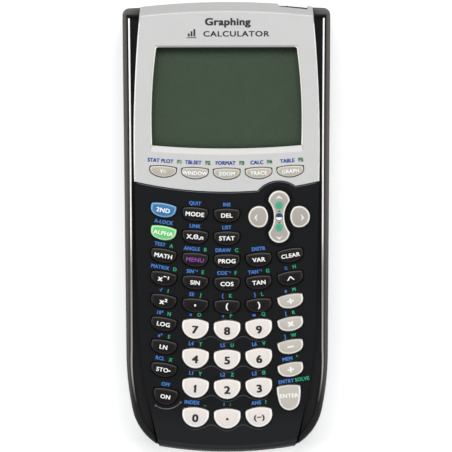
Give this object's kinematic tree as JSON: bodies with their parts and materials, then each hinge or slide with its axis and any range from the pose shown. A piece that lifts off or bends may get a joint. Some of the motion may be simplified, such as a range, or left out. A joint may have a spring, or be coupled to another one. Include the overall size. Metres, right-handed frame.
{
  "type": "graphing calculator",
  "caption": "Handheld graphing calculator: silver display surround, black curved keypad, direction pad, rear battery bay with a hinged door.",
  "frame": {"origin": "centre of the case's footprint, on the flat back", "axes": "+X to the right of the face, +Y up the face towards the display, +Z out of the face"},
  "size_m": [0.0886, 0.1914, 0.0224],
  "materials": {
    "black_case": "fine-textured charcoal black moulding",
    "silver_case": "satin silver-grey moulding",
    "clear_window": "clear polished window",
    "lcd_glass": "grey-green reflective display, switched off",
    "champagne_key": "warm grey key, satin",
    "white_key": "warm white key, satin",
    "grey_key": "warm light grey key, satin",
    "blue_key": "mid blue key",
    "green_key": "leaf green key",
    "black_key": "soft black key",
    "board": "green solder mask",
    "silicone": "grey silicone",
    "cell_jacket": null,
    "plated_spring": "nickel plated",
    "screw_steel": "zinc plated"
  },
  "bodies": {
    "case": {"rear_case": "black_case", "front_deck": "black_case", "display_bezel": "silver_case", "display_window": "clear_window", "lcd_module": "lcd_glass", "circuit_board": "board", "key_membrane": "silicone", "batteries": "cell_jacket", "battery_contacts": "plated_spring", "case_screws": "screw_steel"},
    "battery_door": {"battery_door": "black_case"},
    "key_0": {"key_0": "white_key"},
    "key_1": {"key_1": "white_key"},
    "key_2": {"key_2": "white_key"},
    "key_3": {"key_3": "white_key"},
    "key_4": {"key_4": "white_key"},
    "key_5": {"key_5": "white_key"},
    "key_6": {"key_6": "white_key"},
    "key_7": {"key_7": "white_key"},
    "key_8": {"key_8": "white_key"},
    "key_9": {"key_9": "white_key"},
    "key_alpha": {"key_alpha": "green_key"},
    "key_apps": {"key_apps": "black_key"},
    "key_clear": {"key_clear": "black_key"},
    "key_comma": {"key_comma": "black_key"},
    "key_cos": {"key_cos": "black_key"},
    "key_delete": {"key_delete": "black_key"},
    "key_divide": {"key_divide": "grey_key"},
    "key_enter": {"key_enter": "grey_key"},
    "key_inverse": {"key_inverse": "black_key"},
    "key_left": {"key_left": "grey_key"},
    "key_left_bracket": {"key_left_bracket": "black_key"},
    "key_ln": {"key_ln": "black_key"},
    "key_log": {"key_log": "black_key"},
    "key_math": {"key_math": "black_key"},
    "key_minus": {"key_minus": "grey_key"},
    "key_mode": {"key_mode": "black_key"},
    "key_multiply": {"key_multiply": "grey_key"},
    "key_negative": {"key_negative": "white_key"},
    "key_on": {"key_on": "black_key"},
    "key_plus": {"key_plus": "grey_key"},
    "key_point": {"key_point": "white_key"},
    "key_power": {"key_power": "black_key"},
    "key_program": {"key_program": "black_key"},
    "key_right": {"key_right": "grey_key"},
    "key_right_bracket": {"key_right_bracket": "black_key"},
    "key_second": {"key_second": "blue_key"},
    "key_sin": {"key_sin": "black_key"},
    "key_square": {"key_square": "black_key"},
    "key_stat": {"key_stat": "black_key"},
    "key_store": {"key_store": "black_key"},
    "key_tan": {"key_tan": "black_key"},
    "key_up_down": {"key_up_down": "grey_key"},
    "key_variable": {"key_variable": "black_key"},
    "key_vars": {"key_vars": "black_key"},
    "soft_key_1": {"soft_key_1": "champagne_key"},
    "soft_key_2": {"soft_key_2": "champagne_key"},
    "soft_key_3": {"soft_key_3": "champagne_key"},
    "soft_key_4": {"soft_key_4": "champagne_key"},
    "soft_key_5": {"soft_key_5": "champagne_key"}
  },
  "joints": [
    {"name": "battery_door_hinge", "type": "hinge", "parent": "case", "child": "battery_door", "pos_m": [0, 0.021, 0], "axis": [-1, 0, 0], "range_deg": [0, 75]},
    {"name": "key_0_press", "type": "slide", "parent": "case", "child": "key_0", "axis": [0, 0, -1], "range_m": [0, 0.001], "stiffness_N_per_m": 500},
    {"name": "key_1_press", "type": "slide", "parent": "case", "child": "key_1", "axis": [0, 0, -1], "range_m": [0, 0.001], "stiffness_N_per_m": 500},
    {"name": "key_2_press", "type": "slide", "parent": "case", "child": "key_2", "axis": [0, 0, -1], "range_m": [0, 0.001], "stiffness_N_per_m": 500},
    {"name": "key_3_press", "type": "slide", "parent": "case", "child": "key_3", "axis": [0, 0, -1], "range_m": [0, 0.001], "stiffness_N_per_m": 500},
    {"name": "key_4_press", "type": "slide", "parent": "case", "child": "key_4", "axis": [0, 0, -1], "range_m": [0, 0.001], "stiffness_N_per_m": 500},
    {"name": "key_5_press", "type": "slide", "parent": "case", "child": "key_5", "axis": [0, 0, -1], "range_m": [0, 0.001], "stiffness_N_per_m": 500},
    {"name": "key_6_press", "type": "slide", "parent": "case", "child": "key_6", "axis": [0, 0, -1], "range_m": [0, 0.001], "stiffness_N_per_m": 500},
    {"name": "key_7_press", "type": "slide", "parent": "case", "child": "key_7", "axis": [0, 0, -1], "range_m": [0, 0.001], "stiffness_N_per_m": 500},
    {"name": "key_8_press", "type": "slide", "parent": "case", "child": "key_8", "axis": [0, 0, -1], "range_m": [0, 0.001], "stiffness_N_per_m": 500},
    {"name": "key_9_press", "type": "slide", "parent": "case", "child": "key_9", "axis": [0, 0, -1], "range_m": [0, 0.001], "stiffness_N_per_m": 500},
    {"name": "key_alpha_press", "type": "slide", "parent": "case", "child": "key_alpha", "axis": [0, 0, -1], "range_m": [0, 0.001], "stiffness_N_per_m": 500},
    {"name": "key_apps_press", "type": "slide", "parent": "case", "child": "key_apps", "axis": [0, 0, -1], "range_m": [0, 0.001], "stiffness_N_per_m": 500},
    {"name": "key_clear_press", "type": "slide", "parent": "case", "child": "key_clear", "axis": [0, 0, -1], "range_m": [0, 0.001], "stiffness_N_per_m": 500},
    {"name": "key_comma_press", "type": "slide", "parent": "case", "child": "key_comma", "axis": [0, 0, -1], "range_m": [0, 0.001], "stiffness_N_per_m": 500},
    {"name": "key_cos_press", "type": "slide", "parent": "case", "child": "key_cos", "axis": [0, 0, -1], "range_m": [0, 0.001], "stiffness_N_per_m": 500},
    {"name": "key_delete_press", "type": "slide", "parent": "case", "child": "key_delete", "axis": [0, 0, -1], "range_m": [0, 0.001], "stiffness_N_per_m": 500},
    {"name": "key_divide_press", "type": "slide", "parent": "case", "child": "key_divide", "axis": [0, 0, -1], "range_m": [0, 0.001], "stiffness_N_per_m": 500},
    {"name": "key_enter_press", "type": "slide", "parent": "case", "child": "key_enter", "axis": [0, 0, -1], "range_m": [0, 0.001], "stiffness_N_per_m": 500},
    {"name": "key_inverse_press", "type": "slide", "parent": "case", "child": "key_inverse", "axis": [0, 0, -1], "range_m": [0, 0.001], "stiffness_N_per_m": 500},
    {"name": "key_left_press", "type": "slide", "parent": "case", "child": "key_left", "axis": [0, 0, -1], "range_m": [0, 0.001], "stiffness_N_per_m": 500},
    {"name": "key_left_bracket_press", "type": "slide", "parent": "case", "child": "key_left_bracket", "axis": [0, 0, -1], "range_m": [0, 0.001], "stiffness_N_per_m": 500},
    {"name": "key_ln_press", "type": "slide", "parent": "case", "child": "key_ln", "axis": [0, 0, -1], "range_m": [0, 0.001], "stiffness_N_per_m": 500},
    {"name": "key_log_press", "type": "slide", "parent": "case", "child": "key_log", "axis": [0, 0, -1], "range_m": [0, 0.001], "stiffness_N_per_m": 500},
    {"name": "key_math_press", "type": "slide", "parent": "case", "child": "key_math", "axis": [0, 0, -1], "range_m": [0, 0.001], "stiffness_N_per_m": 500},
    {"name": "key_minus_press", "type": "slide", "parent": "case", "child": "key_minus", "axis": [0, 0, -1], "range_m": [0, 0.001], "stiffness_N_per_m": 500},
    {"name": "key_mode_press", "type": "slide", "parent": "case", "child": "key_mode", "axis": [0, 0, -1], "range_m": [0, 0.001], "stiffness_N_per_m": 500},
    {"name": "key_multiply_press", "type": "slide", "parent": "case", "child": "key_multiply", "axis": [0, 0, -1], "range_m": [0, 0.001], "stiffness_N_per_m": 500},
    {"name": "key_negative_press", "type": "slide", "parent": "case", "child": "key_negative", "axis": [0, 0, -1], "range_m": [0, 0.001], "stiffness_N_per_m": 500},
    {"name": "key_on_press", "type": "slide", "parent": "case", "child": "key_on", "axis": [0, 0, -1], "range_m": [0, 0.001], "stiffness_N_per_m": 500},
    {"name": "key_plus_press", "type": "slide", "parent": "case", "child": "key_plus", "axis": [0, 0, -1], "range_m": [0, 0.001], "stiffness_N_per_m": 500},
    {"name": "key_point_press", "type": "slide", "parent": "case", "child": "key_point", "axis": [0, 0, -1], "range_m": [0, 0.001], "stiffness_N_per_m": 500},
    {"name": "key_power_press", "type": "slide", "parent": "case", "child": "key_power", "axis": [0, 0, -1], "range_m": [0, 0.001], "stiffness_N_per_m": 500},
    {"name": "key_program_press", "type": "slide", "parent": "case", "child": "key_program", "axis": [0, 0, -1], "range_m": [0, 0.001], "stiffness_N_per_m": 500},
    {"name": "key_right_press", "type": "slide", "parent": "case", "child": "key_right", "axis": [0, 0, -1], "range_m": [0, 0.001], "stiffness_N_per_m": 500},
    {"name": "key_right_bracket_press", "type": "slide", "parent": "case", "child": "key_right_bracket", "axis": [0, 0, -1], "range_m": [0, 0.001], "stiffness_N_per_m": 500},
    {"name": "key_second_press", "type": "slide", "parent": "case", "child": "key_second", "axis": [0, 0, -1], "range_m": [0, 0.001], "stiffness_N_per_m": 500},
    {"name": "key_sin_press", "type": "slide", "parent": "case", "child": "key_sin", "axis": [0, 0, -1], "range_m": [0, 0.001], "stiffness_N_per_m": 500},
    {"name": "key_square_press", "type": "slide", "parent": "case", "child": "key_square", "axis": [0, 0, -1], "range_m": [0, 0.001], "stiffness_N_per_m": 500},
    {"name": "key_stat_press", "type": "slide", "parent": "case", "child": "key_stat", "axis": [0, 0, -1], "range_m": [0, 0.001], "stiffness_N_per_m": 500},
    {"name": "key_store_press", "type": "slide", "parent": "case", "child": "key_store", "axis": [0, 0, -1], "range_m": [0, 0.001], "stiffness_N_per_m": 500},
    {"name": "key_tan_press", "type": "slide", "parent": "case", "child": "key_tan", "axis": [0, 0, -1], "range_m": [0, 0.001], "stiffness_N_per_m": 500},
    {"name": "key_up_down_rock", "type": "hinge", "parent": "case", "child": "key_up_down", "pos_m": [0.0222, 0.0043, 0.018], "axis": [1, 0, 0], "range_deg": [-4, 4], "stiffness_Nm_per_rad": 0.03},
    {"name": "key_variable_press", "type": "slide", "parent": "case", "child": "key_variable", "axis": [0, 0, -1], "range_m": [0, 0.001], "stiffness_N_per_m": 500},
    {"name": "key_vars_press", "type": "slide", "parent": "case", "child": "key_vars", "axis": [0, 0, -1], "range_m": [0, 0.001], "stiffness_N_per_m": 500},
    {"name": "soft_key_1_press", "type": "slide", "parent": "case", "child": "soft_key_1", "axis": [0, 0, -1], "range_m": [0, 0.001], "stiffness_N_per_m": 500},
    {"name": "soft_key_2_press", "type": "slide", "parent": "case", "child": "soft_key_2", "axis": [0, 0, -1], "range_m": [0, 0.001], "stiffness_N_per_m": 500},
    {"name": "soft_key_3_press", "type": "slide", "parent": "case", "child": "soft_key_3", "axis": [0, 0, -1], "range_m": [0, 0.001], "stiffness_N_per_m": 500},
    {"name": "soft_key_4_press", "type": "slide", "parent": "case", "child": "soft_key_4", "axis": [0, 0, -1], "range_m": [0, 0.001], "stiffness_N_per_m": 500},
    {"name": "soft_key_5_press", "type": "slide", "parent": "case", "child": "soft_key_5", "axis": [0, 0, -1], "range_m": [0, 0.001], "stiffness_N_per_m": 500}
  ]
}
